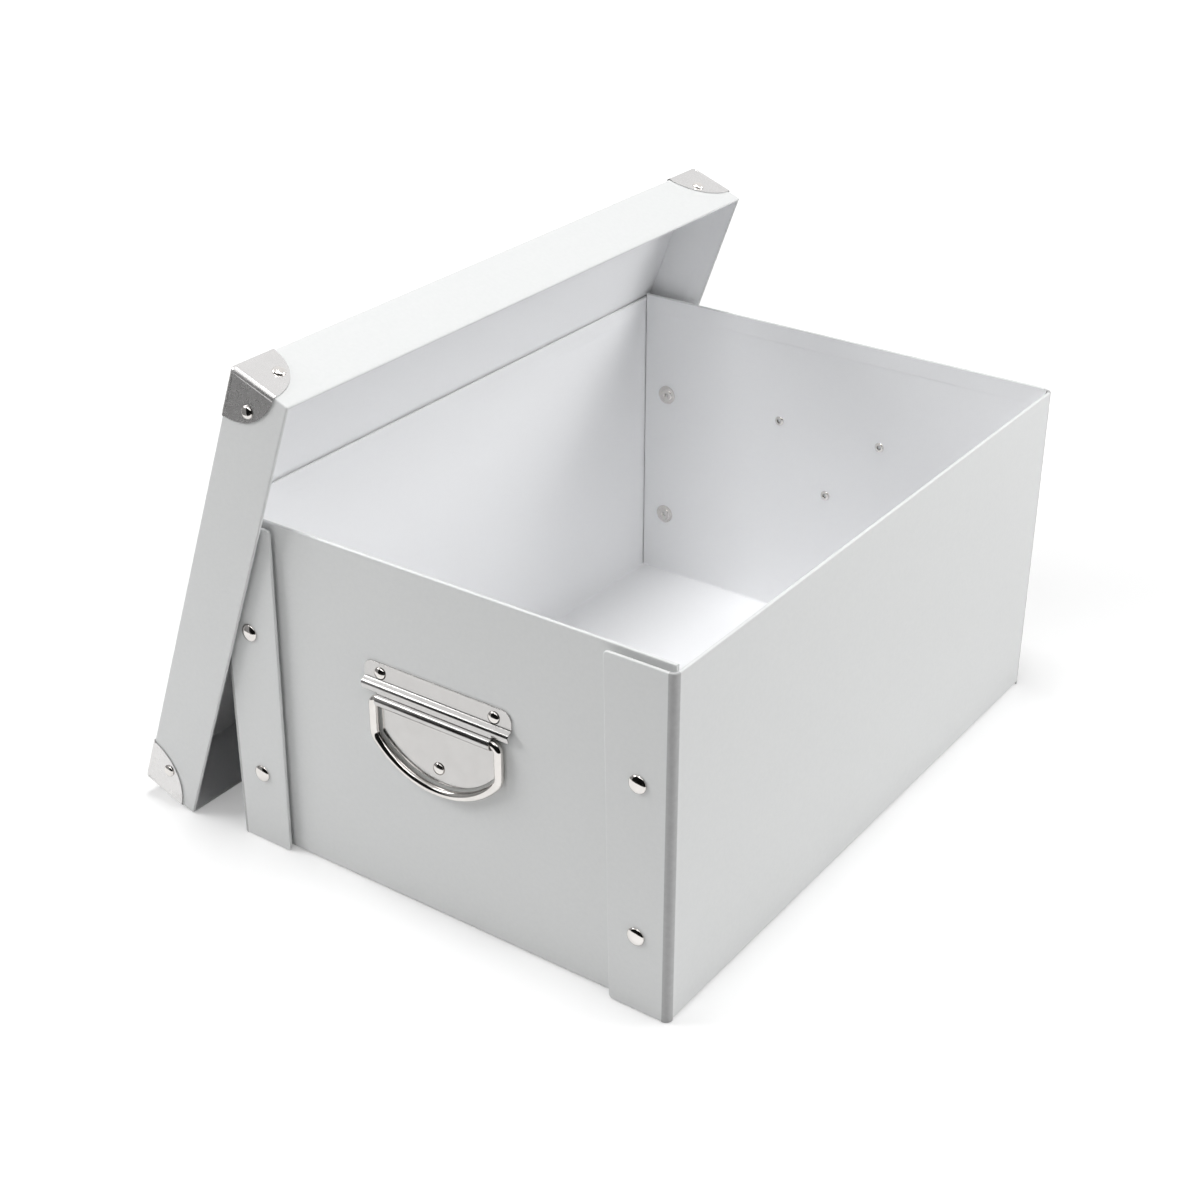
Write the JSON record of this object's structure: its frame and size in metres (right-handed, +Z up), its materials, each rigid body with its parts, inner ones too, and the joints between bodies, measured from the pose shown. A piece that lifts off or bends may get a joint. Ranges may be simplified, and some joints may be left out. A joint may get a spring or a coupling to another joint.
{
  "type": "collapsible storage box",
  "caption": "White paper-covered board storage box with snapped corner flaps, drop handles on the ends, and a lid with metal corners leaning on its side.",
  "frame": {"origin": "on the floor under the middle of the box body, not counting the leaning lid", "axes": "+Z up, Y along the long walls with the front handle at -Y, the lid leans on the -X wall"},
  "size_m": [0.3551, 0.4154, 0.2862],
  "materials": {
    "paper_board": "white laminated paper over greyboard, satin, faintly mottled",
    "plated_steel": "bright nickel-plated steel",
    "satin_steel": "nickel-plated sheet steel with a soft satin surface"
  },
  "bodies": {
    "box": {"box_body": "paper_board", "flap_front_left": "paper_board", "flap_back_left": "paper_board", "lid": "paper_board", "lid_corner_front_top": "satin_steel", "lid_corner_front_bottom": "satin_steel", "lid_corner_back_top": "satin_steel", "lid_corner_back_bottom": "satin_steel", "lid_rivet_front_top_end": "plated_steel", "lid_rivet_front_top_side": "plated_steel", "lid_rivet_front_bottom_end": "plated_steel", "lid_rivet_front_bottom_side": "plated_steel", "lid_rivet_back_top_end": "plated_steel", "lid_rivet_back_top_side": "plated_steel", "lid_rivet_back_bottom_end": "plated_steel", "lid_rivet_back_bottom_side": "plated_steel", "handle_plate_front": "satin_steel", "handle_plate_back": "satin_steel", "handle_rivet_front_left": "plated_steel", "handle_rivet_front_right": "plated_steel", "handle_rivet_front_lower": "plated_steel", "handle_rivet_back_left": "plated_steel", "handle_rivet_back_right": "plated_steel", "handle_rivet_back_lower": "plated_steel", "snap_cap_front_left_lower": "plated_steel", "snap_cap_front_left_upper": "plated_steel", "snap_cap_back_left_lower": "plated_steel", "snap_cap_back_left_upper": "plated_steel", "snap_socket_front_left_lower": "plated_steel", "snap_socket_front_left_upper": "plated_steel", "snap_socket_back_left_lower": "plated_steel", "snap_socket_back_left_upper": "plated_steel", "snap_stud_front_left_lower": "plated_steel", "snap_stud_front_left_upper": "plated_steel", "snap_stud_front_right_lower": "plated_steel", "snap_stud_front_right_upper": "plated_steel", "snap_stud_back_left_lower": "plated_steel", "snap_stud_back_left_upper": "plated_steel", "snap_stud_back_right_lower": "plated_steel", "snap_stud_back_right_upper": "plated_steel", "snap_eyelet_front_left_lower": "plated_steel", "snap_eyelet_front_left_upper": "plated_steel", "snap_eyelet_front_right_lower": "plated_steel", "snap_eyelet_front_right_upper": "plated_steel", "snap_eyelet_back_left_lower": "plated_steel", "snap_eyelet_back_left_upper": "plated_steel", "snap_eyelet_back_right_lower": "plated_steel", "snap_eyelet_back_right_upper": "plated_steel"},
    "front_bail": {"handle_bail_front": "plated_steel"},
    "back_bail": {"handle_bail_back": "plated_steel"},
    "front_right_flap": {"flap_front_right": "paper_board", "snap_cap_front_right_lower": "plated_steel", "snap_cap_front_right_upper": "plated_steel", "snap_socket_front_right_lower": "plated_steel", "snap_socket_front_right_upper": "plated_steel"},
    "back_right_flap": {"flap_back_right": "paper_board", "snap_cap_back_right_lower": "plated_steel", "snap_cap_back_right_upper": "plated_steel", "snap_socket_back_right_lower": "plated_steel", "snap_socket_back_right_upper": "plated_steel"}
  },
  "joints": [
    {"name": "front_bail_swing", "type": "hinge", "parent": "box", "child": "front_bail", "pos_m": [0, -0.1984, 0.122], "axis": [-1, 0, 0], "range_deg": [0, 90]},
    {"name": "back_bail_swing", "type": "hinge", "parent": "box", "child": "back_bail", "pos_m": [0, 0.1984, 0.122], "axis": [1, 0, 0], "range_deg": [0, 90]},
    {"name": "front_right_flap_fold", "type": "hinge", "parent": "box", "child": "front_right_flap", "pos_m": [0.14083, -0.19883, 0.1], "axis": [0, 0, 1], "range_deg": [0, 90]},
    {"name": "back_right_flap_fold", "type": "hinge", "parent": "box", "child": "back_right_flap", "pos_m": [0.14083, 0.19883, 0.1], "axis": [0, 0, -1], "range_deg": [0, 90]}
  ]
}
